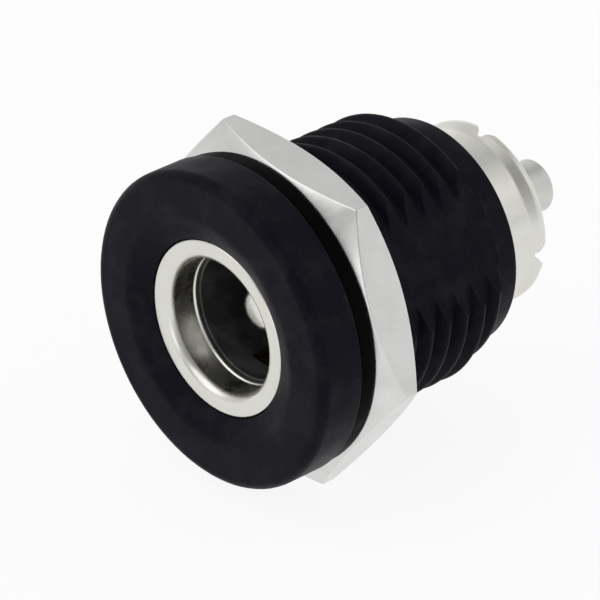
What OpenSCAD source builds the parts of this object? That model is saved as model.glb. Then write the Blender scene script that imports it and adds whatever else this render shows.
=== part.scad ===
// Panel-mount DC power jack, 5.5 x 2.1 mm, threaded moulded body with a hex nut.
// The jack lies along Y: the socket mouth faces -Y and the terminals face +Y.
// The origin is on the axis, in the plane of the flange's rear face, where the
// gasket seats. Stations along the axis are measured from that face.
// "Clock" angles are seen from the front and count from +Z (up) towards +X.

/* [Flange] */
// Diameter of the front flange
flange_d = 14; // [13:0.1:18]
// Thickness of the front flange
flange_t = 2.2; // [1.6:0.1:4]
// Rounding of the flange's front edge
flange_round = 0.45; // [0.1:0.05:0.8]
// Diameter of the shallow dish in the flange's face
dish_d = 10; // [9:0.1:11.5]
// Depth of the dish, down to the lip of the contact
dish_depth = 0.5; // [0.3:0.05:0.9]

/* [Barrel] */
// Outside diameter of the thread
thread_d = 11.9; // [11.4:0.05:12.4]
// Pitch of the thread
thread_pitch = 1; // [0.75:0.05:1.5]
// Height of the thread's ridge
thread_depth = 0.53; // [0.3:0.01:0.6]
// Clock angle at which a ridge would cross the flange's rear face
thread_clock = 100; // [0:1:359]
// Length of the threaded barrel behind the flange
barrel_l = 9.8; // [8:0.1:10.6]
// Distance across the two key flats
key_across = 10.4; // [10.2:0.05:11.2]
// Clock angle of the first key flat
key_clock = 63; // [0:1:179]
// Diameter of the plain collar behind the thread
collar_d = 10.3; // [9.6:0.1:10.6]
// Length of the plain collar
collar_l = 0.9; // [0.6:0.1:1.4]

/* [Gasket and nut] */
// Thickness of the rubber gasket
gasket_t = 0.8; // [0.5:0.05:1.2]
// How far the gasket's edge lies in from the flange's
gasket_inset = 0.1; // [0:0.05:0.4]
// Width of the nut across its flats
nut_across = 14; // [13.6:0.1:17]
// Thickness of the nut
nut_t = 2; // [1.5:0.1:3]
// Slope of the chamfers on the nut's corners, in degrees
nut_chamfer = 30; // [15:1:40]
// Clock angle of the first flat of the tightened nut
nut_clock = 8; // [0:1:59]

/* [Contact shell] */
// Outside diameter of the contact shell
shell_d = 7.84; // [7.4:0.02:8.2]
// Bore of the shell's mouth, which takes a 5.5 mm plug
mouth_d = 6; // [5.7:0.05:6.2]
// Rounding of the lip into the mouth
lip_round = 0.42; // [0.2:0.02:0.45]
// Length of the narrow throat behind the lip's face
throat_l = 1.62; // [1.2:0.02:2]
// Wall of the shell behind the throat
shell_wall = 0.5; // [0.35:0.05:0.6]
// Length of shell that stands out of the body's rear, without the rim
shell_proud = 2.3; // [1.8:0.1:3]
// Diameter over the crimped rim
rim_d = 8.24; // [8.16:0.02:8.6]
// Length of the crimped rim
rim_l = 0.55; // [0.45:0.05:0.9]
// Length of the flare between the shell's wall and the rim
flare_l = 0.4; // [0.2:0.05:0.6]
// Number of claws that the rim is notched into
claw_count = 4; // [3:1:8]
// Depth of the notches between claws
claw_depth = 0.6; // [0.4:0.05:0.8]
// Width of a notch at its round bottom
claw_slot = 0.36; // [0.2:0.02:0.6]
// Width of a notch at the rim's rear edge
claw_gap = 1.3; // [0.6:0.05:1.6]
// Clock angle of the first notch
claw_clock = 6.5; // [0:0.5:90]

/* [Inner parts] */
// Bore of the black core that lines the shell
core_bore_d = 5.6; // [5.55:0.05:5.7]
// Depth of the socket, from the lip's face to its floor
socket_depth = 10.6; // [9.5:0.1:11]
// Thickness of the phenolic disc at the rear
disc_t = 1; // [0.8:0.1:1.4]
// Thickness of the sleeve contact's solder tag
tag_t = 0.3; // [0.2:0.05:0.4]
// Width of the solder tag's tongue
tag_w = 2.2; // [1.6:0.1:2.6]
// Length of the tongue behind the disc
tag_l = 4; // [3:0.1:6]
// Hole in the tongue
tag_hole_d = 1.1; // [0.8:0.05:1.2]
// Clock angle of the tongue
tag_clock = 200; // [180:1:230]
// Thickness of the leaf contact
leaf_t = 0.25; // [0.15:0.01:0.35]
// Width of the leaf contact
leaf_w = 1.6; // [1:0.1:2]
// How far the leaf bows into the socket
leaf_bow = 0.3; // [0.2:0.02:0.5]

/* [Centre pin] */
// Diameter of the centre pin
pin_d = 2.1; // [1.9:0.05:2.1]
// How far the pin's tip lies behind the lip's face
pin_setback = 2.2; // [1:0.1:3]
// Diameter of the solder post at the rear
post_d = 2.4; // [2:0.05:2.6]
// Length of the solder post behind the shell's rim
post_l = 3.4; // [2.5:0.1:5]
// Bore of the solder cup in the post's end
cup_d = 1.5; // [1:0.05:1.8]
// Depth of the solder cup
cup_depth = 2.2; // [1:0.1:3]

/* [Hidden] */

fit = 0.03;          // gap on each side between pieces pressed together
slip = 0.05;         // gap between the nut's thread and the barrel's
edge = 0.12;         // small rounding or break on plain edges
crest_share = 0.1;   // half-width of the ridge's crest, as a share of the pitch
root_share = 0.38;   // half-width of the ridge's root, as a share of the pitch
fade_turns = 0.25;   // turns over which the ridge fades out at both ends
cut = 1;             // how far a cutter runs past what it cuts
barrel_taper = 0.25; // length of the slope between the barrel and the collar
shoulder_l = 0.8;    // length of the pin's shoulder, sunk in the socket's floor
shoulder_w = 0.45;   // how far the shoulder stands out from the post
claw_fold = 0.6;     // how far the claws are folded over the tag
claw_t = 0.2;        // thickness of a claw where it is folded over the tag
rim_round = 0.2;     // rounding of the rim's rear edge
leaf_clock = 180;    // clock angle of the leaf contact
leaf_set = 1.2;      // how far the leaf's front end lies behind the throat
leaf_foot = 1;       // length of the leaf's foot, folded in under the disc
round_fn = 96;       // facets of the preview's circles
turn_steps = 30;     // segments in one turn of the thread
arc_steps = 6;       // segments of a rounded edge in a profile
bow_steps = 24;      // segments of the leaf's bow

// Stations along the axis
lip_y = dish_depth - flange_t;                 // face of the contact's lip
throat_end = lip_y + throat_l;                 // end of the narrow throat
thread_start = root_share * thread_pitch + edge;   // middle of the first ridge
thread_end = barrel_l - barrel_taper - root_share * thread_pitch;   // middle of the last
collar_end = barrel_l + collar_l;              // rear of the moulded body
rim_y = collar_end + shell_proud;              // front of the crimped rim
shell_end = rim_y + rim_l;                     // rear of the crimped rim
floor_y = lip_y + socket_depth;                // floor of the socket
tag_y = shell_end - claw_t - tag_t;            // front face of the solder tag
disc_y = tag_y - disc_t;                       // front face of the phenolic disc
post_end = shell_end + post_l;                 // end of the solder post
leaf_front = throat_end + leaf_set;            // front end of the leaf contact

// Radii
thread_r = thread_d / 2;
root_r = thread_r - thread_depth;
shell_r = shell_d / 2;
shell_bore_r = shell_r - shell_wall;
core_r = shell_bore_r - fit;
core_bore_r = core_bore_d / 2;
mouth_r = mouth_d / 2;
rim_r = rim_d / 2;
fold_r = shell_bore_r - claw_fold;             // opening left between the claws
pin_r = pin_d / 2;
post_r = post_d / 2;
shoulder_r = post_r + shoulder_w;
cup_r = cup_d / 2;
gasket_r = flange_d / 2 - gasket_inset;
gasket_bore_r = thread_r + slip;
nut_bore_r = root_r + 2 * slip;

// The tongue lies as far out as the opening between the claws allows
tongue_x = sqrt(pow(fold_r - fit, 2) - pow(tag_w / 2, 2)) - tag_t;
// The flat leaf lies as far out as its corners allow in the round shell
leaf_x = sqrt(pow(shell_bore_r - fit, 2) - pow(leaf_w / 2, 2)) - leaf_t;

// Points of an arc about c, from angle a to angle b
function arc(c, r, a, b) =
    [for (i = [0:arc_steps]) let (t = a + (b - a) * i / arc_steps) c + r * [cos(t), sin(t)]];

// Turns a piece drawn along Z so that it lies along Y
module along_axis() rotate([-90, 0, 0]) children();

// Turns a piece drawn towards +X to a clock angle, in the frame drawn along Z
module clock(angle) rotate([0, 0, angle - 90]) children();

// A turned solid from a profile of [radius, station] points
module turned(profile) rotate_extrude($fn = round_fn) polygon(profile);

// A plain disc or tube between two stations
module drum(r, from, to) translate([0, 0, from]) cylinder(r = r, h = to - from, $fn = round_fn);

// Share of its height that the ridge has at turn t of n
function fade(t, n) = min(1, t / fade_turns, (n - t) / fade_turns);

// A helical ridge between two stations. grow widens it on all sides, for a cutter.
module thread_ridge(from, to, grow = 0) {
    turns = (to - from) / thread_pitch;
    steps = ceil(turns * turn_steps);
    crest_half = crest_share * thread_pitch + grow;
    root_half = root_share * thread_pitch + grow;
    inner_r = root_r - 0.2;
    rings = [for (i = [0:steps]) let (
                t = turns * i / steps,
                a = 360 * (t + from / thread_pitch) + thread_clock - 90,
                rise = (thread_depth + grow) * fade(t, turns),
                r = root_r + max(rise, 0.02),
                z = from + t * thread_pitch)
            [for (p = [[inner_r, -root_half], [r, -crest_half], [r, crest_half], [inner_r, root_half]])
                [p[0] * cos(a), p[0] * sin(a), z + p[1]]]];
    points = [for (ring = rings) each ring];
    sides = [for (i = [0:steps - 1], k = [0:3]) let (m = (k + 1) % 4)
                each [[4 * i + k, 4 * i + m, 4 * i + 4 + m], [4 * i + k, 4 * i + 4 + m, 4 * i + 4 + k]]];
    ends = [[3, 2, 1, 0], [4 * steps, 4 * steps + 1, 4 * steps + 2, 4 * steps + 3]];
    polyhedron(points, concat(sides, ends), convexity = 12);
}

module jack_body() {
    color([0.09, 0.09, 0.1]) along_axis() difference() {
        union() {
            turned(concat(
                [[0, -flange_t]],
                arc([flange_d / 2 - flange_round, flange_round - flange_t], flange_round, -90, 0),
                [[flange_d / 2, -edge], [flange_d / 2 - edge, 0], [root_r, 0],
                 [root_r, barrel_l - barrel_taper], [collar_d / 2, barrel_l],
                 [collar_d / 2, collar_end - edge], [collar_d / 2 - edge, collar_end],
                 [0, collar_end]]));
            thread_ridge(thread_start, thread_end);
        }
        key_flats();
        dish_and_bore();
    }
}

// Cutters for the two flats that key the barrel in its panel
module key_flats()
    for (side = [0, 180])
        clock(key_clock + side)
            translate([key_across / 2, -thread_r - cut, 0])
                cube([thread_r, thread_d + 2 * cut, barrel_l]);

// Cutter for the dish in the flange's face and the bore for the shell
module dish_and_bore()
    turned([[0, -flange_t - cut], [dish_d / 2, -flange_t - cut],
            [dish_d / 2, -flange_t], [shell_r + fit, lip_y], [shell_r + fit, collar_end + cut],
            [0, collar_end + cut]]);

module gasket()
    color([0.04, 0.04, 0.04]) along_axis()
        turned(concat(
            [[gasket_bore_r, 0]],
            arc([gasket_r - edge, edge], edge, -90, 0),
            arc([gasket_r - edge, gasket_t - edge], edge, 0, 90),
            [[gasket_bore_r, gasket_t]]));

// Hex nut, chamfered at the corners of both faces, threaded to run on the barrel
module panel_nut() {
    corner_r = nut_across / 2 / cos(30);
    face_r = nut_across / 2 - edge;
    rim = corner_r + edge;
    drop = (rim - face_r) * tan(nut_chamfer);
    from = gasket_t;
    to = gasket_t + nut_t;
    color([0.76, 0.76, 0.74]) along_axis() difference() {
        intersection() {
            clock(nut_clock + 30) translate([0, 0, from]) cylinder(r = corner_r, h = nut_t, $fn = 6);
            turned([[0, from], [face_r, from], [rim, from + drop],
                    [rim, to - drop], [face_r, to], [0, to]]);
        }
        drum(nut_bore_r, from - cut, to + cut);
        thread_ridge(from - thread_pitch, to + thread_pitch, slip);
    }
}

// Outline of the flare, a smooth S from the shell's wall out to the rim
function flare() =
    [for (i = [0:arc_steps]) let (s = i / arc_steps)
        [shell_r + (rim_r - shell_r) * (1 - cos(180 * s)) / 2, rim_y + flare_l * (s - 0.5)]];

// One turned and drawn tube: rounded lip, narrow throat, and a rear rim whose
// claws are folded in over the solder tag.
module contact_shell()
    color([0.86, 0.86, 0.82]) along_axis() difference() {
        turned(concat(
            arc([mouth_r + lip_round, lip_y + lip_round], lip_round, 180, 270),
            [[shell_r - edge, lip_y], [shell_r, lip_y + edge]],
            flare(),
            arc([rim_r - rim_round, shell_end - rim_round], rim_round, 0, 90),
            [[fold_r, shell_end], [fold_r, shell_end - claw_t],
             [shell_bore_r, shell_end - claw_t], [shell_bore_r, throat_end],
             [mouth_r + edge, throat_end], [mouth_r, throat_end - edge]]));
        claw_notches();
    }

// Cutters for the notches that part the rim into claws: a round bottom, then
// sides that spread to the rear edge
module claw_notches() {
    middle = claw_slot / 2 - claw_depth;
    for (i = [0:claw_count - 1])
        clock(claw_clock + i * 360 / claw_count)
            translate([fold_r - cut, 0, shell_end]) rotate([90, 0, 90]) linear_extrude(rim_r) {
                translate([0, middle]) circle(d = claw_slot, $fn = 24);
                polygon([[-claw_slot / 2, middle], [claw_slot / 2, middle],
                         [claw_gap / 2, 0], [claw_gap / 2, cut],
                         [-claw_gap / 2, cut], [-claw_gap / 2, 0]]);
            }
}

// Black moulding that lines the shell, holds the pin and guides the plug
module socket_core()
    color([0.07, 0.07, 0.07]) along_axis() difference() {
        drum(core_r, throat_end + fit, disc_y);
        drum(core_bore_r, throat_end, floor_y);
        drum(shoulder_r + fit, floor_y - cut, floor_y + shoulder_l);
        drum(post_r + fit, floor_y, disc_y + cut);
        leaf_slot();
    }

// Cutter for the slot that the leaf lies in, its window into the socket where
// the leaf bows in, and a recess for its foot
module leaf_slot() {
    width = leaf_w + 4 * fit;
    clock(leaf_clock) {
        translate([leaf_x - fit, -width / 2, leaf_front - 2 * fit])
            cube([core_r, width, disc_y]);
        translate([core_bore_r - leaf_bow, -width / 2, leaf_front - 2 * fit])
            cube([core_r, width, floor_y - leaf_front]);
        translate([leaf_x + leaf_t - leaf_foot - fit, -width / 2, disc_y - leaf_t - fit])
            cube([core_r, width, cut]);
    }
}

// Sprung strip that bows into the socket and presses on the side of the plug
module leaf_contact() {
    foot_y = disc_y - leaf_t;
    span = floor_y - 4 * fit - leaf_front;
    depth = leaf_x - core_bore_r + leaf_bow;
    face = [for (i = [0:bow_steps]) let (s = i / bow_steps)
                [leaf_x - depth * (1 - cos(360 * s)) / 2, leaf_front + span * s]];
    back = [for (i = [bow_steps:-1:0]) face[i] + [leaf_t, 0]];
    color([0.8, 0.72, 0.5]) along_axis() clock(leaf_clock)
        rotate([90, 0, 0]) translate([0, 0, -leaf_w / 2]) linear_extrude(leaf_w)
            polygon(concat(
                face,
                [[leaf_x, foot_y], [leaf_x + leaf_t - leaf_foot, foot_y],
                 [leaf_x + leaf_t - leaf_foot, disc_y], [leaf_x + leaf_t, disc_y]],
                back));
}

// Phenolic disc between the core and the solder tag
module rear_disc()
    color([0.35, 0.22, 0.12]) along_axis() difference() {
        drum(core_r, disc_y, tag_y);
        drum(post_r + fit, disc_y - cut, tag_y + cut);
    }

// Stamped ring under the claws, with a tongue bent back to take a wire
module sleeve_tag()
    color([0.8, 0.8, 0.77]) along_axis() {
        difference() {
            drum(core_r, tag_y, tag_y + tag_t);
            drum(tongue_x - edge, tag_y - cut, tag_y + cut);
        }
        clock(tag_clock) translate([tongue_x, 0, tag_y]) rotate([90, 0, 90])
            linear_extrude(tag_t) difference() {
                union() {
                    translate([-tag_w / 2, 0]) square([tag_w, tag_l - tag_w / 2]);
                    translate([0, tag_l - tag_w / 2]) circle(d = tag_w, $fn = 48);
                }
                translate([0, tag_l - tag_w / 2]) circle(d = tag_hole_d, $fn = 48);
            }
    }

// Turned pin: rounded tip, shoulder in the socket's floor, post with a solder cup
module centre_pin() {
    tip_y = lip_y + pin_setback;
    tip_round = 0.55 * pin_r;
    color([0.82, 0.82, 0.8]) along_axis()
        turned(concat(
            [[0, tip_y]],
            arc([pin_r - tip_round, tip_y + tip_round], tip_round, -90, 0),
            [[pin_r, floor_y], [shoulder_r, floor_y], [shoulder_r, floor_y + shoulder_l],
             [post_r, floor_y + shoulder_l]],
            arc([post_r - edge, post_end - edge], edge, 0, 90),
            [[cup_r, post_end], [cup_r, post_end - cup_depth],
             [0, post_end - cup_depth - cup_r / 2]]));
}

jack_body();
gasket();
panel_nut();
contact_shell();
socket_core();
leaf_contact();
rear_disc();
sleeve_tag();
centre_pin();
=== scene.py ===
"""A panel-mount DC power jack: threaded moulded body, gasket, hex nut and inner contacts.

The jack lies along Y, with its socket mouth towards -Y and its terminals towards +Y.
Every piece is modelled in millimetres in the packed frame and placed in metres.
Clock angles are seen from the front and count from +Z towards +X.
"""

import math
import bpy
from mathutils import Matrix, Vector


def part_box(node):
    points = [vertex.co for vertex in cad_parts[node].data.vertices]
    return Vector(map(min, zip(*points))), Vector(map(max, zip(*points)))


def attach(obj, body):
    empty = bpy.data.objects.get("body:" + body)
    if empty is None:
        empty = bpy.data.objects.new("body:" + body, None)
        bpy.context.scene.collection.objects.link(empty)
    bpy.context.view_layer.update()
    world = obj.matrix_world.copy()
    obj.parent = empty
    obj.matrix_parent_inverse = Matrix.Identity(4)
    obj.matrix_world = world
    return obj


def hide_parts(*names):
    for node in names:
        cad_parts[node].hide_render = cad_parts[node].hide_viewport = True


bl_info = {
    "name": "DC barrel jack",
    "version": (1, 0, 0),
    "blender": (4, 5, 0),
    "location": "3D View > Sidebar > Barrel jack",
    "description": "Builds the pieces of a threaded DC barrel jack around its packed frame",
    "category": "Object",
}

import bmesh
import bpy
from bpy.props import FloatProperty, FloatVectorProperty, IntProperty, PointerProperty
from mathutils import Matrix, Vector

MM = 0.001            # metres in a millimetre
TURN_STEPS = 96       # segments in one turn of a turned piece
ARC_STEPS = 5         # segments of a rounded corner in an outline
SHARP_ANGLE = 22      # degrees between faces from which an edge is shown sharp
MERGE = 1e-4          # mm within which vertices are one
AXIS = Vector((0, 1, 0))

# Sizes in millimetres that several pieces share
EDGE = 0.12           # rounding or break on plain edges
BREAK = 0.05          # slight rounding on the small pieces' edges
FIT = 0.03            # gap on each side between pieces pressed together
SHOULDER = 0.8        # length of the pin's shoulder, sunk in the socket's floor
LEAF_FOOT = 1         # length of the leaf's foot behind the core

# Profile of a thread's ridge, as shares of the pitch
CREST_HALF = 0.10     # half the width of the crest
ROOT_HALF = 0.38      # half the width of the foot
RIDGE_EASE = 0.16     # rounding of the crest's and the foot's edges
RIDGE_STEPS = 4       # segments of that rounding

SQUARE_ANGLE = 60     # degrees from which an edge counts as square
FLOOR_HALF = 3        # metres from the floor's middle to its sides
SENSOR_WIDTH = 36     # mm, of the camera
CLIP_START = 0.01     # metres, of the camera
LOOK_AT = Vector((0.000456, 0.002590, -0.000074))   # point in metres that the camera looks at


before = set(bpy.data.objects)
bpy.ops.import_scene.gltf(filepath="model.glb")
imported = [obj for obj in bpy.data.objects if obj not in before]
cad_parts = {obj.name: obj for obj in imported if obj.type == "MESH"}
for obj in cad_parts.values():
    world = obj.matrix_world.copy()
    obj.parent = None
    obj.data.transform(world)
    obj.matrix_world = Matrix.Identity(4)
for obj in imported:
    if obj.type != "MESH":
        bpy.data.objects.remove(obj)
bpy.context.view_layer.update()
BOX = {node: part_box(node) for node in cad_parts}


def front(node):
    """Station of a node's front end, in metres."""
    return BOX[node][0].y


def rear(node):
    """Station of a node's rear end, in metres."""
    return BOX[node][1].y


def reach(node):
    """Largest distance of a round node from the axis."""
    return max(BOX[node][1].x, BOX[node][1].z)


# ---------------------------------------------------------------- settings

def length(name, description, default):
    return FloatProperty(name=name, description=description, default=default, min=0.0,
                         subtype="DISTANCE", unit="LENGTH", precision=5)


def degrees(name, description, default):
    return FloatProperty(name=name, description=description, default=math.radians(default),
                         subtype="ANGLE", unit="ROTATION")


def share(name, description, default):
    return FloatProperty(name=name, description=description, default=default,
                         min=0.0, max=1.0, subtype="FACTOR")


def colour(name, description, default):
    return FloatVectorProperty(name=name, description=description, default=default,
                               size=3, min=0.0, max=1.0, subtype="COLOR")


class BodySettings(bpy.types.PropertyGroup):
    """Sizes of the moulded body, its thread and its gasket"""
    flange_d: length("Flange diameter", "Across the front flange", 2 * reach("jack_body"))
    flange_round: length("Flange rounding", "Radius of the flange's front edge", 0.45 * MM)
    dish_d: length("Dish diameter", "Across the shallow dish in the flange", 10 * MM)
    thread_d: length("Thread diameter", "Over the thread's crests", 11.9 * MM)
    thread_pitch: length("Thread pitch", "Distance from one ridge to the next", 1 * MM)
    thread_depth: length("Thread depth", "Height of the ridge over its root", 0.53 * MM)
    thread_clock: degrees("Thread start", "Clock angle where a ridge meets the flange", 100)
    barrel_l: length("Barrel length", "Length of the threaded barrel", 9.8 * MM)
    key_across: length("Across the flats", "Distance between the two key flats", 10.4 * MM)
    key_clock: degrees("Flat's angle", "Clock angle of the first key flat", 63)
    collar_d: length("Collar diameter", "Across the plain collar behind the thread", 10.3 * MM)
    gasket_inset: length("Gasket inset", "How far the gasket lies in from the flange", 0.1 * MM)


class NutSettings(bpy.types.PropertyGroup):
    """Sizes of the hex nut"""
    across: length("Across flats", "Width of the nut across its flats", 14 * MM)
    chamfer: degrees("Chamfer slope", "Slope of the chamfers on the corners", 30)
    nut_clock: degrees("Nut's angle", "Clock angle of the nut's first flat", 8)
    slip: length("Thread play", "Gap between the nut's thread and the barrel's", 0.05 * MM)


class ShellSettings(bpy.types.PropertyGroup):
    """Sizes of the plated contact shell"""
    shell_d: length("Shell diameter", "Outside diameter of the shell's tube", 7.84 * MM)
    mouth_d: length("Mouth", "Bore of the narrow throat", 6 * MM)
    lip_round: length("Lip rounding", "Radius of the lip into the mouth", 0.42 * MM)
    throat_l: length("Throat length", "Length of the narrow throat", 1.62 * MM)
    throat_bead: length("Throat bead", "Height of the small bead that ends the throat", 0.07 * MM)
    shell_wall: length("Wall", "Wall of the tube behind the throat", 0.5 * MM)
    rim_l: length("Rim length", "Length of the crimped rim", 0.55 * MM)
    flare_l: length("Flare length", "Length of the flare between wall and rim", 0.4 * MM)
    claw_fold: length("Claw fold", "How far the claws are folded over the tag", 0.6 * MM)
    claw_count: IntProperty(name="Claws", description="Claws that the rim is notched into",
                            default=4, min=3, max=8)
    claw_depth: length("Notch depth", "Depth of the notches between claws", 0.6 * MM)
    claw_slot: length("Notch bottom", "Width of a notch at its round bottom", 0.36 * MM)
    claw_gap: length("Notch mouth", "Width of a notch at the rim's rear edge", 1.3 * MM)
    claw_clock: degrees("Notch's angle", "Clock angle of the first notch", 6.5)


class InnerSettings(bpy.types.PropertyGroup):
    """Sizes of the pieces inside the shell"""
    core_bore_d: length("Socket bore", "Bore of the black core", 5.6 * MM)
    socket_depth: length("Socket depth", "From the lip's face to the socket's floor", 10.6 * MM)
    pin_d: length("Pin diameter", "Diameter of the centre pin", 2.1 * MM)
    post_d: length("Post diameter", "Diameter of the solder post", 2.4 * MM)
    cup_d: length("Solder cup", "Bore of the cup in the post's end", 1.5 * MM)
    cup_depth: length("Cup depth", "Depth of the solder cup", 2.2 * MM)
    leaf_t: length("Leaf thickness", "Thickness of the leaf contact", 0.25 * MM)
    leaf_w: length("Leaf width", "Width of the leaf contact", 1.6 * MM)
    leaf_bow: length("Leaf bow", "How far the leaf bows into the socket", 0.3 * MM)
    tag_t: length("Tag thickness", "Thickness of the solder tag", 0.3 * MM)
    tag_w: length("Tag width", "Width of the solder tag's tongue", 2.2 * MM)
    tag_hole_d: length("Tag hole", "Hole in the solder tag's tongue", 1.1 * MM)
    tag_clock: degrees("Tag's angle", "Clock angle of the solder tag", 200)


class FinishSettings(bpy.types.PropertyGroup):
    """Colours of the finishes"""
    plastic: colour("Body plastic", "Black moulded body", (0.0054, 0.0055, 0.0100))
    rubber: colour("Gasket rubber", "Black rubber gasket", (0.0014, 0.0014, 0.0018))
    nut: colour("Nut plating", "Satin nickel on the nut", (0.70, 0.70, 0.69))
    shell: colour("Shell plating", "Tin plating on the shell and lip", (0.70, 0.70, 0.675))
    # the core's black is lifted above the body's so that the unlit socket shows lighter: partly
    # painted light
    core: colour("Core plastic", "Black moulding that lines the shell", (0.024, 0.023, 0.023))
    leaf: colour("Leaf brass", "Bare brass of the leaf contact", (0.62, 0.46, 0.22))
    disc: colour("Phenolic", "Brown phenolic disc", (0.11, 0.045, 0.016))
    tag: colour("Tag tinning", "Tinned solder tag", (0.72, 0.71, 0.68))
    pin: colour("Pin plating", "Nickel plating on the centre pin", (0.86, 0.85, 0.83))
    post: colour("Post tinning", "Dull tinning on the solder post", (0.62, 0.62, 0.60))


class StageSettings(bpy.types.PropertyGroup):
    """Camera, floor and light"""
    azimuth: degrees("View azimuth", "Camera's angle from the front towards +X", 47.223)
    elevation: degrees("View elevation", "Camera's angle above the horizontal", 29.527)
    distance: length("View distance", "From the camera to the point it looks at", 187.5 * MM)
    lens: FloatProperty(name="Lens", description="Focal length on a 36 mm sensor",
                        default=270.06, min=1.0, subtype="DISTANCE_CAMERA", unit="CAMERA")
    drop: length("Floor drop", "Gap between the part and the floor", 0.0)
    world_level: FloatProperty(name="World", description="Strength of the plain surround",
                               default=1.0, min=0.0)
    lamp_level: FloatProperty(name="Lamps", description="Strength of the softboxes",
                              default=1.0, min=0.0)
    backdrop: colour("Backdrop", "Colour of the floor and backdrop", (0.95, 0.95, 0.95))
    floor_veil: share("Shadow veil", "How much the floor shows as plain white", 0.9)


SETTINGS = {"jack_body": BodySettings, "jack_nut": NutSettings, "jack_shell": ShellSettings,
            "jack_inner": InnerSettings, "jack_finish": FinishSettings,
            "jack_stage": StageSettings}


def mm(value):
    """A length in metres as millimetres."""
    return value / MM


# ---------------------------------------------------------------- modelling

def rim_point(radius, clock, y=0.0):
    """A point at a radius and a clock angle in radians."""
    return Vector((radius * math.sin(clock), y, radius * math.cos(clock)))


def only_verts(geom):
    return [item for item in geom if isinstance(item, bmesh.types.BMVert)]


def ends(edges):
    """The vertices of some edges, each once and always in the same order."""
    return list(dict.fromkeys(v for e in edges for v in e.verts))


def outline(bm, corners, closed=True, steps=ARC_STEPS):
    """Draws a wire of (radius, station, rounding) corners in the plane of +X and Y."""
    verts = [bm.verts.new((r, y, 0)) for r, y, *_ in corners]
    edges = [bm.edges.new(pair) for pair in zip(verts, verts[1:])]
    if closed:
        edges.append(bm.edges.new((verts[-1], verts[0])))
    for vert, corner in zip(verts, corners):
        if len(corner) < 3 or not corner[2]:
            continue
        sides = [(e.other_vert(vert).co - vert.co).normalized() for e in vert.link_edges]
        half = sides[0].angle(sides[1]) / 2
        bmesh.ops.bevel(bm, geom=[vert], offset=corner[2] / math.tan(half), segments=steps,
                        profile=0.5, affect="VERTICES", material=-1, clamp_overlap=False)
    return [e for e in bm.edges if e.is_wire]


def turned(corners, closed=True, steps=TURN_STEPS):
    """An outline spun once round the axis, with the seam and the poles closed."""
    bm = bmesh.new()
    edges = outline(bm, corners, closed)
    bmesh.ops.spin(bm, geom=ends(edges) + edges, cent=(0, 0, 0), axis=AXIS,
                   angle=2 * math.pi, steps=steps, use_merge=True)
    bmesh.ops.remove_doubles(bm, verts=bm.verts, dist=MERGE)
    return bm


def thread(root, crest, pitch, start_clock, low, high, fade=None):
    """A helical skin between two stations, with ridges from the root's to the crest's
    radius. With fade, which is (first, last, length), they rise from the root's radius
    past the first station and sink back to it before the last, each over that length."""
    bm = bmesh.new()
    crest_half, root_half, ease = CREST_HALF * pitch, ROOT_HALF * pitch, RIDGE_EASE * pitch
    shift = pitch * (math.pi / 2 - start_clock) / (2 * math.pi)
    start = shift + pitch * (math.floor((low - shift) / pitch) - 1)
    turns = math.ceil((high - start) / pitch) + 1
    edges = outline(bm, [(root, start - pitch / 2), (root, start - root_half, ease),
                         (crest, start - crest_half, ease), (crest, start + crest_half, ease),
                         (root, start + root_half, ease), (root, start + pitch / 2)],
                    closed=False, steps=RIDGE_STEPS)
    bmesh.ops.spin(bm, geom=ends(edges) + edges, cent=(0, 0, 0), axis=AXIS, angle=2 * math.pi,
                   dvec=(0, pitch / TURN_STEPS, 0), steps=TURN_STEPS)
    one_turn = bm.verts[:] + bm.edges[:] + bm.faces[:]
    for further in range(1, turns):
        copy = bmesh.ops.duplicate(bm, geom=one_turn)["geom"]
        bmesh.ops.translate(bm, vec=(0, further * pitch, 0), verts=only_verts(copy))
    bmesh.ops.remove_doubles(bm, verts=bm.verts, dist=MERGE)
    if fade:
        first, last, fade_length = fade
        for v in bm.verts:
            clock = math.atan2(v.co.x, v.co.z)
            phase = v.co.y / pitch - (clock - start_clock) / (2 * math.pi)
            ridge = v.co.y - pitch * (phase - round(phase))
            keep = min(1, max(0, min(ridge - first, last - ridge) / fade_length))
            radius = math.hypot(v.co.x, v.co.z)
            scale = (root + (radius - root) * keep) / radius
            v.co.x *= scale
            v.co.z *= scale
    for station, above in ((low, False), (high, True)):
        geom = bm.verts[:] + bm.edges[:] + bm.faces[:]
        bmesh.ops.bisect_plane(bm, geom=geom, dist=MERGE, plane_co=(0, station, 0),
                               plane_no=AXIS, clear_outer=above, clear_inner=not above)
    return bm


def flatten(bm, clock, distance):
    """Presses what stands past a plane parallel to the axis back onto that plane."""
    normal = rim_point(1, clock)
    geom = bm.verts[:] + bm.edges[:] + bm.faces[:]
    bmesh.ops.bisect_plane(bm, geom=geom, dist=MERGE, plane_co=normal * distance,
                           plane_no=normal)
    for v in bm.verts:
        past = v.co.dot(normal) - distance
        if past > 0:
            v.co -= normal * past


def join(bm, other):
    """Adds another bmesh's geometry to bm and frees it."""
    spare = bpy.data.meshes.new("spare")
    other.to_mesh(spare)
    other.free()
    bm.from_mesh(spare)
    bpy.data.meshes.remove(spare)


def bridge_at(bm, low, high):
    """Joins the two open loops that lie between two stations."""
    bmesh.ops.recalc_face_normals(bm, faces=bm.faces)
    edges = [e for e in bm.edges if e.is_boundary
             and all(low - MERGE <= v.co.y <= high + MERGE for v in e.verts)]
    bmesh.ops.bridge_loops(bm, edges=edges)


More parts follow.
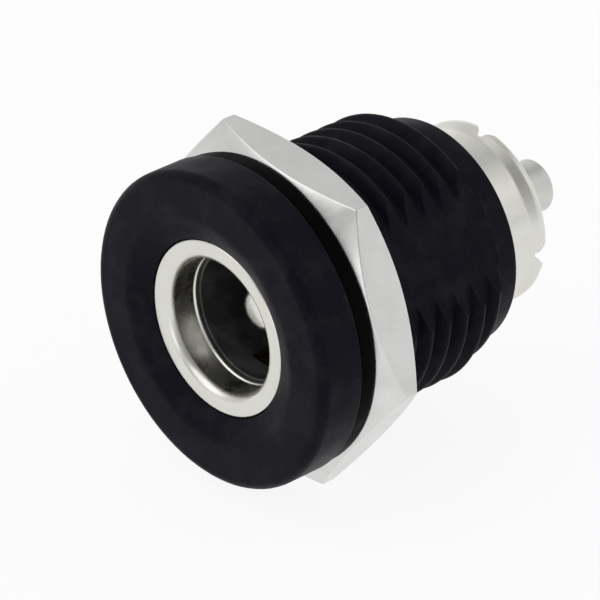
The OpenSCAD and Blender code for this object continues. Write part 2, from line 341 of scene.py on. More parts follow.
def carve(bm, tools, operation="DIFFERENCE"):
    """Cuts the tools out of a solid, or unites them with it, and frees them all."""
    def hold(part, name):
        bmesh.ops.recalc_face_normals(part, faces=part.faces)
        mesh = bpy.data.meshes.new(name)
        part.to_mesh(mesh)
        part.free()
        obj = bpy.data.objects.new(name, mesh)
        bpy.context.scene.collection.objects.link(obj)
        return obj

    solid = hold(bm, "carved")
    held = [hold(tool, "tool") for tool in tools]
    for tool in held:
        modifier = solid.modifiers.new("carve", "BOOLEAN")
        modifier.operation, modifier.solver, modifier.object = operation, "EXACT", tool
    bpy.context.view_layer.update()
    shape = solid.evaluated_get(bpy.context.evaluated_depsgraph_get())
    result = bmesh.new()
    result.from_mesh(shape.to_mesh())
    shape.to_mesh_clear()
    for obj in [solid] + held:
        mesh = obj.data
        bpy.data.objects.remove(obj)
        bpy.data.meshes.remove(mesh)
    return result


def soften(bm, width, over=SHARP_ANGLE, segments=2, clamp=True):
    """Rounds the edges whose faces meet at more than an angle in degrees."""
    edges = [e for e in bm.edges if e.is_manifold and e.calc_face_angle(0) > math.radians(over)]
    bmesh.ops.bevel(bm, geom=edges, offset=width, segments=segments, profile=0.5,
                    affect="EDGES", material=-1, clamp_overlap=clamp)


def place(bm, name, node, slot, *materials):
    """Puts a finished bmesh, in millimetres, into the scene as a piece of the jack."""
    bmesh.ops.remove_doubles(bm, verts=bm.verts, dist=MERGE)
    bmesh.ops.recalc_face_normals(bm, faces=bm.faces)
    for face in bm.faces:
        face.smooth = True
    for edge in bm.edges:
        edge.smooth = edge.calc_face_angle(0) < math.radians(SHARP_ANGLE)
    bmesh.ops.scale(bm, vec=(MM, MM, MM), verts=bm.verts)
    mesh = bpy.data.meshes.new(name)
    bm.to_mesh(mesh)
    bm.free()
    for material in materials:
        mesh.materials.append(material)
    piece = bpy.data.objects.new(name, mesh)
    bpy.context.scene.collection.objects.link(piece)
    piece.modifiers.new("even_shading", "WEIGHTED_NORMAL").keep_sharp = True
    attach(piece, "root")
    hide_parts(node)


# ---------------------------------------------------------------- materials

def new_group(name, inputs, output):
    """An empty shader node group with float inputs {name: default} and one output."""
    tree = bpy.data.node_groups.new(name, "ShaderNodeTree")
    for key, default in inputs.items():
        socket = tree.interface.new_socket(key, in_out="INPUT", socket_type="NodeSocketFloat")
        socket.default_value = default
    tree.interface.new_socket(output, in_out="OUTPUT", socket_type="NodeSocketFloat")
    return tree, tree.nodes.new("NodeGroupInput"), tree.nodes.new("NodeGroupOutput")


def linked(tree, kind, settings=None, **inputs):
    """A node whose inputs are values or the output sockets of other nodes."""
    node = tree.nodes.new(kind)
    for key, value in (settings or {}).items():
        setattr(node, key, value)
    for key, value in inputs.items():
        socket = node.inputs[int(key[1:])] if key[0] == "_" else node.inputs[key.replace("_", " ")]
        if isinstance(value, bpy.types.NodeSocket):
            tree.links.new(value, socket)
        else:
            socket.default_value = value
    return node


def mottle_group():
    """Soft noise between a low and a high value, for uneven gloss and tarnish."""
    tree, given, out = new_group(
        "uneven_finish", {"Size mm": 1.0, "Detail": 2.0, "Low": 0.0, "High": 1.0}, "Value")
    where = linked(tree, "ShaderNodeTexCoord").outputs["Object"]
    density = linked(tree, "ShaderNodeMath", {"operation": "DIVIDE"},
                     _0=1 / MM, _1=given.outputs["Size mm"]).outputs[0]
    noise = linked(tree, "ShaderNodeTexNoise", Vector=where, Scale=density,
                   Detail=given.outputs["Detail"], Roughness=0.6)
    spread = linked(tree, "ShaderNodeMapRange", {"interpolation_type": "SMOOTHSTEP"},
                    Value=noise.outputs["Fac"], _1=0.3, _2=0.7,
                    _3=given.outputs["Low"], _4=given.outputs["High"])
    tree.links.new(spread.outputs[0], out.inputs["Value"])
    return tree


def specks_group():
    """A mask of scattered small specks, or of short scratches where Length is over 1."""
    tree, given, out = new_group(
        "scattered_specks",
        {"Spacing mm": 1.0, "Speck size": 0.1, "Share": 0.3, "Length": 1.0}, "Mask")
    stretch = linked(tree, "ShaderNodeCombineXYZ", X=given.outputs["Length"], Y=1.0, Z=1.0)
    where = linked(tree, "ShaderNodeMapping", {"vector_type": "TEXTURE"},
                   Vector=linked(tree, "ShaderNodeTexCoord").outputs["Object"],
                   Rotation=(0.6, 0.3, 0.8), Scale=stretch.outputs[0]).outputs[0]
    density = linked(tree, "ShaderNodeMath", {"operation": "DIVIDE"},
                     _0=1 / MM, _1=given.outputs["Spacing mm"]).outputs[0]
    cells = linked(tree, "ShaderNodeTexVoronoi", Vector=where, Scale=density)
    inner = linked(tree, "ShaderNodeMath", {"operation": "MULTIPLY"},
                   _0=given.outputs["Speck size"], _1=0.4).outputs[0]
    dot = linked(tree, "ShaderNodeMapRange", Value=cells.outputs["Distance"],
                 _1=given.outputs["Speck size"], _2=inner, _3=0.0, _4=1.0)
    chance = linked(tree, "ShaderNodeSeparateColor", Color=cells.outputs["Color"])
    kept = linked(tree, "ShaderNodeMath", {"operation": "LESS_THAN"},
                  _0=chance.outputs["Red"], _1=given.outputs["Share"])
    mask = linked(tree, "ShaderNodeMath", {"operation": "MULTIPLY"},
                  _0=dot.outputs[0], _1=kept.outputs[0])
    tree.links.new(mask.outputs[0], out.inputs["Mask"])
    return tree


def lathe_group():
    """Fine uneven rings round the axis, as turning leaves them."""
    tree, given, out = new_group("turning_marks", {"Spacing mm": 0.1}, "Height")
    where = linked(tree, "ShaderNodeTexCoord").outputs["Object"]
    axes = linked(tree, "ShaderNodeSeparateXYZ", Vector=where)
    flat = linked(tree, "ShaderNodeCombineXYZ", X=axes.outputs["X"], Z=axes.outputs["Z"])
    radius = linked(tree, "ShaderNodeVectorMath", {"operation": "LENGTH"}, _0=flat.outputs[0])
    along = linked(tree, "ShaderNodeMath", {"operation": "ADD"},
                   _0=radius.outputs["Value"], _1=axes.outputs["Y"])
    density = linked(tree, "ShaderNodeMath", {"operation": "DIVIDE"},
                     _0=1 / MM, _1=given.outputs["Spacing mm"]).outputs[0]
    noise = linked(tree, "ShaderNodeTexNoise", {"noise_dimensions": "1D"},
                   W=along.outputs[0], Scale=density, Detail=2.0)
    tree.links.new(noise.outputs["Fac"], out.inputs["Height"])
    return tree


GROUP_MAKERS = {"uneven_finish": mottle_group, "scattered_specks": specks_group,
                "turning_marks": lathe_group}


def effect(tree, name, **inputs):
    """Places one of the shared effect groups and returns its output socket."""
    group = bpy.data.node_groups.get(name) or GROUP_MAKERS[name]()
    return linked(tree, "ShaderNodeGroup", {"node_tree": group}, **inputs).outputs[0]


def new_material(name, base, **sockets):
    """A material with a Principled BSDF whose uniform values are set on its sockets."""
    material = bpy.data.materials.new(name)
    material.use_nodes = True
    shader = material.node_tree.nodes["Principled BSDF"]
    shader.inputs["Base Color"].default_value = (*base, 1)
    for key, value in sockets.items():
        shader.inputs[key.replace("_", " ")].default_value = value
    material.diffuse_color = (*base, 1)
    return material, material.node_tree, shader


def bump(tree, shader, height, strength, distance_mm):
    """Fine relief on a shader, from a height and the depth in millimetres."""
    node = linked(tree, "ShaderNodeBump", Height=height, Strength=strength,
                  Distance=distance_mm * MM)
    tree.links.new(node.outputs[0], shader.inputs["Normal"])


def tinted(tree, shader, base, other, mask):
    """Base colour turning to another colour by a mask."""
    mix = linked(tree, "ShaderNodeMix", {"data_type": "RGBA"}, _0=mask)
    mix.inputs[6].default_value = (*base, 1)
    mix.inputs[7].default_value = (*other, 1)
    tree.links.new(mix.outputs[2], shader.inputs["Base Color"])


def black_plastic(name, base, dust, film_and_sheen, gleam=0.045):
    """Moulded black plastic with uneven gloss, dust specks and faint lighter patches, partly a dust
    film and partly painted sheen.
    """
    material, tree, shader = new_material(name, base, Specular_IOR_Level=gleam)
    gloss = effect(tree, "uneven_finish", Size_mm=2.2, Low=0.36, High=0.5)
    tree.links.new(gloss, shader.inputs["Roughness"])
    specks = effect(tree, "scattered_specks", Spacing_mm=1.1, Speck_size=0.07, Share=0.3)
    # lighter soft patches: partly a dust film, partly painted sheen standing in for the plastic's
    # soft reflections
    patches = effect(tree, "uneven_finish", Size_mm=1.3, Detail=3.0, Low=-0.6 * film_and_sheen, High=film_and_sheen)
    dust_and_sheen = linked(tree, "ShaderNodeMath", {"operation": "MAXIMUM"}, _0=specks, _1=patches)
    tinted(tree, shader, base, dust, dust_and_sheen.outputs[0])
    bump(tree, shader, effect(tree, "uneven_finish", Size_mm=0.35, Detail=3.0), 0.25, 0.01)
    return material


def rubber(name, base):
    """Dull black rubber with uneven gloss and a fine grain."""
    material, tree, shader = new_material(name, base, Specular_IOR_Level=0.02)
    gloss = effect(tree, "uneven_finish", Size_mm=0.8, Low=0.35, High=0.5)
    tree.links.new(gloss, shader.inputs["Roughness"])
    bump(tree, shader, effect(tree, "uneven_finish", Size_mm=0.12, Detail=3.0), 0.3, 0.01)
    return material


def plated(name, base, dull, gloss, grain=0.1, marks=0.08):
    """Plated metal with uneven tarnish (on the shell partly a painted reflection) and gloss,
    turning marks and handling scratches.
    The rings lie grain millimetres apart, and marks is the strength of the relief."""
    material, tree, shader = new_material(name, base, Metallic=1.0)
    # tarnish patches towards the dull colour; on the shell that cream tint is partly a painted
    # reflection
    patches = effect(tree, "uneven_finish", Size_mm=1.6, Detail=3.0, Low=0.0, High=0.45)
    tinted(tree, shader, base, dull, patches)
    rough = effect(tree, "uneven_finish", Size_mm=0.9, Low=gloss[0], High=gloss[1])
    tree.links.new(rough, shader.inputs["Roughness"])
    scratches = effect(tree, "scattered_specks", Spacing_mm=0.9, Speck_size=0.04, Share=0.35,
                       Length=9.0)
    rings = effect(tree, "turning_marks", Spacing_mm=grain)
    relief = linked(tree, "ShaderNodeMath", {"operation": "SUBTRACT"}, _0=rings, _1=scratches)
    bump(tree, shader, relief.outputs[0], marks, 0.01)
    return material


def phenolic(name, base):
    """Pressed brown paper laminate with soft darker layers."""
    material, tree, shader = new_material(name, base, Specular_IOR_Level=0.4)
    layers = effect(tree, "uneven_finish", Size_mm=0.5, Detail=5.0, Low=0.0, High=1.0)
    tinted(tree, shader, base, tuple(0.55 * c for c in base), layers)
    gloss = effect(tree, "uneven_finish", Size_mm=1.0, Low=0.35, High=0.55)
    tree.links.new(gloss, shader.inputs["Roughness"])
    return material


# ---------------------------------------------------------------- pieces

class JACK_OT_body(bpy.types.Operator):
    """Moulds the black body: dished flange, threaded barrel with key flats, plain collar"""
    bl_idname = "jack.body"
    bl_label = "Body"

    def execute(self, context):
        s, shell = context.scene.jack_body, context.scene.jack_shell
        taper, dish_ease, lip_break, bore_break = 0.25, 0.8, 0.04, 0.1
        face, end, lip = mm(front("jack_body")), mm(rear("jack_body")), mm(front("contact_shell"))
        crest, pitch = mm(s.thread_d) / 2, mm(s.thread_pitch)
        root, barrel = crest - mm(s.thread_depth), mm(s.barrel_l)
        bore, collar, flange = mm(shell.shell_d) / 2 + FIT, mm(s.collar_d) / 2, mm(s.flange_d) / 2
        first, last = ROOT_HALF * pitch + EDGE, barrel - taper - ROOT_HALF * pitch
        bm = thread(root, crest, pitch, s.thread_clock, 0, barrel - taper,
                    fade=(first, last, pitch / 4))
        for side in (0, math.pi):
            flatten(bm, s.key_clock + side, mm(s.key_across) / 2)
        join(bm, turned([(crest + EDGE, 0), (flange, 0, EDGE), (flange, face, mm(s.flange_round)),
                         (mm(s.dish_d) / 2, face, dish_ease), (bore, lip, lip_break),
                         (bore, end, bore_break), (collar, end, EDGE), (collar, barrel)],
                        closed=False))
        bridge_at(bm, 0, 0)
        bridge_at(bm, barrel - taper, barrel)
        place(bm, "threaded_body", "jack_body", "body_plastic",
              black_plastic("black_body_plastic", context.scene.jack_finish.plastic,
                            (0.05, 0.05, 0.055), film_and_sheen=0.12))
        return {"FINISHED"}


class JACK_OT_gasket(bpy.types.Operator):
    """Cuts the rubber gasket behind the flange"""
    bl_idname = "jack.gasket"
    bl_label = "Gasket"

    def execute(self, context):
        s = context.scene.jack_body
        low, high, play = mm(front("gasket")), mm(rear("gasket")), 0.05
        bore, radius = mm(s.thread_d) / 2 + play, mm(s.flange_d) / 2 - mm(s.gasket_inset)
        bm = turned([(bore, low), (radius, low, EDGE), (radius, high, EDGE), (bore, high)])
        place(bm, "rubber_gasket", "gasket", "gasket_rubber",
              rubber("black_gasket_rubber", context.scene.jack_finish.rubber))
        return {"FINISHED"}


class JACK_OT_nut(bpy.types.Operator):
    """Turns the hex nut: chamfered corners and a threaded bore that runs on the barrel"""
    bl_idname = "jack.nut"
    bl_label = "Hex nut"

    def execute(self, context):
        s, body = context.scene.jack_nut, context.scene.jack_body
        low, high = mm(front("panel_nut")), mm(rear("panel_nut"))
        slip, flat = mm(s.slip), mm(s.across) / 2
        rim, face = flat / math.cos(math.pi / 6) + EDGE, flat - EDGE
        drop = (rim - face) * math.tan(s.chamfer)
        crest, lead_in, rounding, least_angle = mm(body.thread_d) / 2, 0.15, 0.055, 12
        root = crest - mm(body.thread_depth)
        bm = turned([(crest + 2 * slip, low), (face, low), (rim, low + drop), (rim, high - drop),
                     (face, high), (crest + 2 * slip, high)], closed=False)
        for side in range(6):
            normal = rim_point(1, s.nut_clock + side * math.pi / 3)
            geom = bm.verts[:] + bm.edges[:] + bm.faces[:]
            cut = bmesh.ops.bisect_plane(bm, geom=geom, dist=MERGE, plane_co=normal * flat,
                                         plane_no=normal, clear_outer=True)["geom_cut"]
            bmesh.ops.edgeloop_fill(bm, edges=[e for e in cut if isinstance(e, bmesh.types.BMEdge)])
        soften(bm, rounding, over=least_angle, segments=3, clamp=False)
        join(bm, thread(root + 2 * slip, crest + slip, mm(body.thread_pitch), body.thread_clock,
                        low + lead_in, high - lead_in))
        bridge_at(bm, low, low + lead_in)
        bridge_at(bm, high - lead_in, high)
        finish = context.scene.jack_finish
        place(bm, "hexagon_nut", "panel_nut", "nut_metal",
              plated("satin_nut_plating", finish.nut, (0.58, 0.58, 0.57), (0.27, 0.34), marks=0.06))
        return {"FINISHED"}


class JACK_OT_shell(bpy.types.Operator):
    """Draws the plated contact shell: rounded lip, throat, tube and notched, folded rim"""
    bl_idname = "jack.shell"
    bl_label = "Contact shell"

    def execute(self, context):
        s = context.scene.jack_shell
        lip, end = mm(front("contact_shell")), mm(rear("contact_shell"))
        mouth, wall, rim = mm(s.mouth_d) / 2, mm(s.shell_d) / 2, mm(reach("contact_shell"))
        bore, throat, flare = wall - mm(s.shell_wall), lip + mm(s.throat_l), mm(s.flare_l)
        start, fold, bead = end - mm(s.rim_l), bore - mm(s.claw_fold), mm(s.throat_bead)
        claw_t, rim_round, throat_ease, bead_round = 0.2, 0.2, 0.03, 0.06
        bm = turned([(mouth, lip, mm(s.lip_round)), (wall, lip, EDGE),
                     (wall, start - flare / 2, flare), (rim, start + flare / 2, flare / 2),
                     (rim, end, rim_round), (fold, end, BREAK), (fold, end - claw_t, BREAK),
                     (bore, end - claw_t, BREAK), (bore, throat, throat_ease),
                     (mouth - bead, throat, bead_round),
                     (mouth - bead, throat - 2 * bead, bead_round),
                     (mouth, throat - 3 * bead, bead_round)])
        depth, slot, gap = mm(s.claw_depth), mm(s.claw_slot) / 2, mm(s.claw_gap) / 2
        ease, past, tool_from, tool_depth = 0.16, 0.5, 2, 3
        shift, slot_round = 0.7 * ease, 0.9 * slot
        tools = []
        for claw in range(s.claw_count):
            tool = bmesh.new()
            outline(tool, [(-gap - ease, end + past), (-gap - ease, end),
                           (-gap + shift, end - shift), (-slot, end - depth + slot),
                           (-slot, end - depth, slot_round), (slot, end - depth, slot_round),
                           (slot, end - depth + slot), (gap - shift, end - shift),
                           (gap + ease, end), (gap + ease, end + past)])
            bmesh.ops.contextual_create(tool, geom=tool.edges)
            raised = bmesh.ops.extrude_face_region(tool, geom=tool.faces[:])["geom"]
            bmesh.ops.translate(tool, vec=(0, 0, tool_depth), verts=only_verts(raised))
            bmesh.ops.translate(tool, vec=(0, 0, tool_from), verts=tool.verts)
            spot = s.claw_clock + claw * 2 * math.pi / s.claw_count
            bmesh.ops.rotate(tool, cent=(0, 0, 0), verts=tool.verts,
                             matrix=Matrix.Rotation(spot, 3, "Y"))
            tools.append(tool)
        bm = carve(bm, tools)
        finish = context.scene.jack_finish
        # the shell's cream tarnish tint is partly real tarnish and partly a painted reflection of
        # the warm band on its wall
        place(bm, "plated_shell", "contact_shell", "shell_plating",
              plated("tin_shell_plating", finish.shell, (0.68, 0.64, 0.54), (0.22, 0.32),
                     grain=0.25, marks=0.04))
        return {"FINISHED"}


class JACK_OT_core(bpy.types.Operator):
    """Moulds the black core that lines the shell, with a slot and a window for the leaf"""
    bl_idname = "jack.core"
    bl_label = "Socket core"

    def execute(self, context):
        s = context.scene.jack_inner
        low, high = mm(front("socket_core")), mm(rear("socket_core"))
        radius, bore = mm(reach("socket_core")), mm(s.core_bore_d) / 2
        floor, floor_round = mm(front("contact_shell")) + mm(s.socket_depth), 0.1
        post, shoulder = mm(s.post_d) / 2 + FIT, mm(reach("centre_pin")) + FIT
        bm = turned([(bore, low, BREAK), (radius, low), (radius, high, BREAK), (post, high),
                     (post, floor + SHOULDER), (shoulder, floor + SHOULDER), (shoulder, floor),
                     (bore, floor, floor_round)])
        leaf_low, leaf_t, width = mm(front("leaf_contact")), mm(s.leaf_t), mm(s.leaf_w) + 4 * FIT
        inner = mm(-BOX["leaf_contact"][0].z) - leaf_t
        past, tool_depth = 1, 4
        tools = []
        # the slot for the leaf, the window for its bow, and the recess for its foot
        for inside, first, last in ((inner - FIT, leaf_low - 2 * FIT, high + past),
                                    (bore - mm(s.leaf_bow), leaf_low - 2 * FIT, floor - 2 * FIT),
                                    (inner + leaf_t - LEAF_FOOT - FIT, high - leaf_t - FIT,
                                     high + past)):
            tool = bmesh.new()
            bmesh.ops.create_cube(tool, size=1)
            bmesh.ops.scale(tool, vec=(width, last - first, tool_depth), verts=tool.verts)
            middle = (0, (first + last) / 2, -inside - tool_depth / 2)
            bmesh.ops.translate(tool, vec=middle, verts=tool.verts)
            tools.append(tool)
        bm = carve(bm, tools)
        # the core's lifted base and its strong lighter patches are partly painted light inside the
        # dark socket, partly a dust film
        place(bm, "socket_liner", "socket_core", "core_plastic",
              black_plastic("black_core_plastic", context.scene.jack_finish.core,
                            (0.12, 0.12, 0.12), film_and_sheen=0.3, gleam=0.5))
        return {"FINISHED"}


class JACK_OT_leaf(bpy.types.Operator):
    """Bends the brass leaf that presses on the side of a plug"""
    bl_idname = "jack.leaf"
    bl_label = "Leaf contact"

    def execute(self, context):
        s, steps, bend, edge = context.scene.jack_inner, 24, 0.1, 0.03
        low, high = mm(front("leaf_contact")), mm(rear("leaf_contact"))
        thick, width = mm(s.leaf_t), mm(s.leaf_w)
        rest = mm(-BOX["leaf_contact"][0].z) - thick
        span = mm(front("contact_shell")) + mm(s.socket_depth) - 4 * FIT - low
        depth = rest - mm(s.core_bore_d) / 2 + mm(s.leaf_bow)
        bm = bmesh.new()
        bow = [(rest - depth * (1 - math.cos(2 * math.pi * i / steps)) / 2, low + span * i / steps)
               for i in range(steps + 1)]
        outline(bm, bow + [(rest, high - thick, bend), (rest + thick - LEAF_FOOT, high - thick)],
                closed=False)
        raised = bmesh.ops.extrude_edge_only(bm, edges=bm.edges[:])["geom"]
        bmesh.ops.translate(bm, vec=(0, 0, width), verts=only_verts(raised))
        bmesh.ops.translate(bm, vec=(0, 0, -width / 2), verts=bm.verts)
        bmesh.ops.recalc_face_normals(bm, faces=bm.faces)
        if sum(f.normal.x for f in bm.faces) > 0:
            bmesh.ops.reverse_faces(bm, faces=bm.faces)
        bmesh.ops.solidify(bm, geom=bm.faces[:], thickness=thick)
        soften(bm, edge, over=SQUARE_ANGLE)
        bmesh.ops.rotate(bm, cent=(0, 0, 0), verts=bm.verts,
                         matrix=Matrix.Rotation(math.pi / 2, 3, "Y"))
        finish = context.scene.jack_finish
        place(bm, "brass_leaf", "leaf_contact", "leaf_brass",
              plated("leaf_brass", finish.leaf, (0.46, 0.33, 0.16), (0.24, 0.34)))
        return {"FINISHED"}


class JACK_OT_disc(bpy.types.Operator):
    """Punches the phenolic disc behind the core"""
    bl_idname = "jack.disc"
    bl_label = "Phenolic disc"

    def execute(self, context):
        low, high, radius = mm(front("rear_disc")), mm(rear("rear_disc")), mm(reach("rear_disc"))
        bore = mm(context.scene.jack_inner.post_d) / 2 + FIT
        bm = turned([(bore, low), (radius, low, BREAK), (radius, high, BREAK), (bore, high, BREAK)])
        place(bm, "phenolic_disc", "rear_disc", "disc_phenolic",
              phenolic("brown_phenolic", context.scene.jack_finish.disc))
        return {"FINISHED"}


class JACK_OT_tag(bpy.types.Operator):
    """Stamps the solder tag: a ring under the claws with a tongue bent to the rear"""
    bl_idname = "jack.tag"
    bl_label = "Solder tag"

    def execute(self, context):
        s, shell, edge = context.scene.jack_inner, context.scene.jack_shell, 0.04
        low, high = mm(front("sleeve_tag")), mm(rear("sleeve_tag"))
        thick, half, hole = mm(s.tag_t), mm(s.tag_w) / 2, mm(s.tag_hole_d) / 2
        fold = mm(shell.shell_d) / 2 - mm(shell.shell_wall) - mm(shell.claw_fold)
        inside = math.sqrt((fold - FIT) ** 2 - half ** 2) - thick
        radius = mm(shell.shell_d) / 2 - mm(shell.shell_wall) - FIT
        bm = turned([(inside - EDGE, low), (radius, low), (radius, low + thick),
                     (inside - EDGE, low + thick)])
        tongue = bmesh.new()
        centre, end_round, drill_depth = high - half, half - 0.001, 4
        outline(tongue, [(-half, low), (half, low), (half, high, end_round),
                         (-half, high, end_round)], steps=12)
        bmesh.ops.contextual_create(tongue, geom=tongue.edges)
        raised = bmesh.ops.extrude_face_region(tongue, geom=tongue.faces[:])["geom"]
        bmesh.ops.translate(tongue, vec=(0, 0, thick), verts=only_verts(raised))
        bmesh.ops.translate(tongue, vec=(0, 0, inside), verts=tongue.verts)
        drill = bmesh.new()
        bmesh.ops.create_cone(drill, cap_ends=True, segments=32, radius1=hole, radius2=hole,
                              depth=drill_depth)
        bmesh.ops.translate(drill, vec=(0, centre, inside), verts=drill.verts)
        tongue = carve(tongue, [drill])
        bmesh.ops.rotate(tongue, cent=(0, 0, 0), verts=tongue.verts,
                         matrix=Matrix.Rotation(s.tag_clock, 3, "Y"))
        bm = carve(bm, [tongue], "UNION")
        soften(bm, edge, over=SQUARE_ANGLE)
        finish = context.scene.jack_finish
        place(bm, "solder_tag", "sleeve_tag", "tag_plating",
              plated("tag_tinning", finish.tag, (0.58, 0.57, 0.54), (0.2, 0.35)))
        return {"FINISHED"}


class JACK_OT_pin(bpy.types.Operator):
    """Turns the centre pin: rounded tip, shoulder, and a post with a solder cup"""
    bl_idname = "jack.pin"
    bl_label = "Centre pin"

    def execute(self, context):
        s = context.scene.jack_inner
        low, high = mm(front("centre_pin")), mm(rear("centre_pin"))
        pin, post, shoulder = mm(s.pin_d) / 2, mm(s.post_d) / 2, mm(reach("centre_pin"))
        floor = mm(front("contact_shell")) + mm(s.socket_depth)
        cup, depth = mm(s.cup_d) / 2, high - mm(s.cup_depth)
        tip_round, fillet, cup_break, cup_ease = 0.55 * pin, 0.03, 0.08, 0.1
        bm = turned([(0, low), (pin, low, tip_round), (pin, floor, fillet),
                     (shoulder, floor, BREAK), (shoulder, floor + SHOULDER, BREAK),
                     (post, floor + SHOULDER), (post, high, EDGE), (cup, high, cup_break),
                     (cup, depth, cup_ease), (0, depth - cup / 2)], closed=False, steps=64)
        # behind the shoulder the post is tinned
        for face in bm.faces:
            face.material_index = int(face.calc_center_median().y > floor + SHOULDER)
        finish = context.scene.jack_finish
        place(bm, "centre_contact", "centre_pin", "pin_plating",
              plated("pin_plating", finish.pin, (0.66, 0.64, 0.60), (0.2, 0.3),
                     grain=0.2, marks=0.04),
              plated("post_tinning", finish.post, (0.50, 0.50, 0.48), (0.28, 0.4),
                     grain=0.2, marks=0.06))
        return {"FINISHED"}


# ---------------------------------------------------------------- stage

# Patches of the surround: direction, outer and inner angle in degrees, and the light
# that each adds to the surround's plain level
STUDIO_GLOWS = (((0, 0, 1), 88, 30, -0.30),
                ((0.72, -0.35, 0.60), 55, 20, -0.33),
                ((-0.08, -0.97, 0.21), 30, 12, -0.35),
                ((-0.92, -0.38, 0.0), 35, 10, -0.25),
                ((0.05, 0.59, 0.80), 28, 8, -0.15),
                ((0.42, 0.59, 0.69), 26, 8, 0.24),
                ((0.81, 0.59, 0.00), 14, 5, -0.25))
# Name, direction, distance and size in metres, and radiance
SOFTBOXES = (("left_softbox", (-0.30, -0.58, 0.76), 0.5, 0.56, 0.75),
             ("front_softbox", (0.35, -0.93, -0.02), 0.5, 0.30, 0.9))


def seen(tree):
    """A mask that is 1 for rays that show the surroundings to the camera."""
    path = linked(tree, "ShaderNodeLightPath").outputs
    total = linked(tree, "ShaderNodeMath", {"operation": "ADD"},
                   _0=path["Is Camera Ray"], _1=path["Is Glossy Ray"]).outputs[0]
    return linked(tree, "ShaderNodeMath", {"operation": "ADD", "use_clamp": True},
                  _0=total, _1=path["Is Transmission Ray"]).outputs[0]


def glow(tree, heading, towards, widest, tightest, amount):
    """Light added smoothly where a heading comes within two angles of a direction."""
    near = linked(tree, "ShaderNodeVectorMath", {"operation": "DOT_PRODUCT"},
                  _0=heading, _1=Vector(towards).normalized())
    return linked(tree, "ShaderNodeMapRange", {"interpolation_type": "SMOOTHSTEP"},
                  Value=near.outputs["Value"], _1=math.cos(math.radians(widest)),
                  _2=math.cos(math.radians(tightest)), _3=0.0, _4=amount).outputs[0]


def studio_world(level):
    """A pale surround with darker and brighter patches, as a studio's walls reflect."""
    world = bpy.data.worlds.new("studio")
    bpy.context.scene.world = world
    world.use_nodes = True
    tree = world.node_tree
    heading = linked(tree, "ShaderNodeTexCoord").outputs["Generated"]
    total = level
    for towards, widest, tightest, amount in STUDIO_GLOWS:
        total = linked(tree, "ShaderNodeMath", {"operation": "ADD"}, _0=total,
                       _1=glow(tree, heading, towards, widest, tightest, amount)).outputs[0]
    back = tree.nodes["Background"]
    back.inputs["Color"].default_value = (1, 1, 1, 1)
    tree.links.new(total, back.inputs["Strength"])


def pale_floor(base, veil):
    """A matt floor that shows partly as plain white, so that its shadows stay faint."""
    material, tree, shader = new_material("pale_floor", base, Roughness=0.9)
    white = linked(tree, "ShaderNodeEmission", Color=(1, 1, 1, 1), Strength=1.0)
    part = linked(tree, "ShaderNodeMath", {"operation": "MULTIPLY"}, _0=seen(tree), _1=veil)
    both = linked(tree, "ShaderNodeMixShader", _0=part.outputs[0], _1=shader.outputs[0],
                  _2=white.outputs[0])
    tree.links.new(both.outputs[0], tree.nodes["Material Output"].inputs["Surface"])
    material.cycles.emission_sampling = "NONE"
    return material


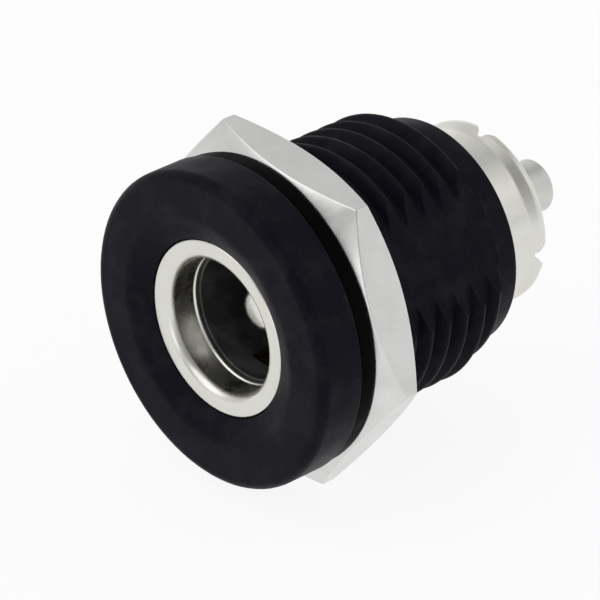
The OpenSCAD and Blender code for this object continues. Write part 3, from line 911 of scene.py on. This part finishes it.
class JACK_OT_stage(bpy.types.Operator):
    """Sets up the floor, the soft light and the camera"""
    bl_idname = "jack.stage"
    bl_label = "Stage"

    def execute(self, context):
        scene, s = context.scene, context.scene.jack_stage
        corner = scene.jack_nut.across / math.cos(math.pi / 6) / 2
        clocks = [scene.jack_nut.nut_clock + (k + 0.5) * math.pi / 3 for k in range(6)]
        ground = min(corner * math.cos(c) for c in clocks) - s.drop
        bm = bmesh.new()
        bmesh.ops.create_grid(bm, x_segments=1, y_segments=1, size=FLOOR_HALF)
        bmesh.ops.translate(bm, vec=(0, 0, ground), verts=bm.verts)
        mesh = bpy.data.meshes.new("floor")
        bm.to_mesh(mesh)
        bm.free()
        floor = bpy.data.objects.new("floor", mesh)
        scene.collection.objects.link(floor)
        mesh.materials.append(pale_floor(s.backdrop, s.floor_veil))
        studio_world(s.world_level)
        for name, heading, distance, size, radiance in SOFTBOXES:
            lamp = bpy.data.lights.new(name, "AREA")
            lamp.shape, lamp.size = "DISK", size
            lamp.energy = s.lamp_level * radiance * math.pi * math.pi * (size / 2) ** 2
            light = bpy.data.objects.new(name, lamp)
            light.location = distance * Vector(heading).normalized()
            light.rotation_euler = (-Vector(heading)).to_track_quat("-Z", "Y").to_euler()
            scene.collection.objects.link(light)
        towards = Vector((math.sin(s.azimuth) * math.cos(s.elevation),
                          -math.cos(s.azimuth) * math.cos(s.elevation), math.sin(s.elevation)))
        camera = bpy.data.objects.new("camera", bpy.data.cameras.new("camera"))
        camera.data.lens, camera.data.sensor_width = s.lens, SENSOR_WIDTH
        camera.data.clip_start = CLIP_START
        camera.location = LOOK_AT + towards * s.distance
        camera.rotation_euler = (-towards).to_track_quat("-Z", "Y").to_euler()
        scene.collection.objects.link(camera)
        scene.camera = camera
        scene.view_settings.view_transform = "Standard"
        return {"FINISHED"}


STEPS = [JACK_OT_body, JACK_OT_gasket, JACK_OT_nut, JACK_OT_shell, JACK_OT_core, JACK_OT_leaf,
         JACK_OT_disc, JACK_OT_tag, JACK_OT_pin, JACK_OT_stage]


class JACK_PT_panel(bpy.types.Panel):
    """Lists the jack's pieces and sizes"""
    bl_idname = "JACK_PT_panel"
    bl_label = "Barrel jack"
    bl_space_type = "VIEW_3D"
    bl_region_type = "UI"
    bl_category = "Barrel jack"

    def draw(self, context):
        for step in STEPS:
            self.layout.operator(step.bl_idname)
        for name, group in SETTINGS.items():
            box = self.layout.box()
            box.label(text=group.__doc__)
            for key in group.__annotations__:
                box.prop(getattr(context.scene, name), key)


CLASSES = [*SETTINGS.values(), *STEPS, JACK_PT_panel]


def register():
    for cls in CLASSES:
        bpy.utils.register_class(cls)
    for name, group in SETTINGS.items():
        setattr(bpy.types.Scene, name, PointerProperty(type=group))


def unregister():
    for name in SETTINGS:
        delattr(bpy.types.Scene, name)
    for cls in reversed(CLASSES):
        bpy.utils.unregister_class(cls)


def main():
    """Builds every piece and the stage."""
    register()
    for step in STEPS:
        family, name = step.bl_idname.split(".")
        getattr(getattr(bpy.ops, family), name)()


if __name__ == "__main__":
    main()
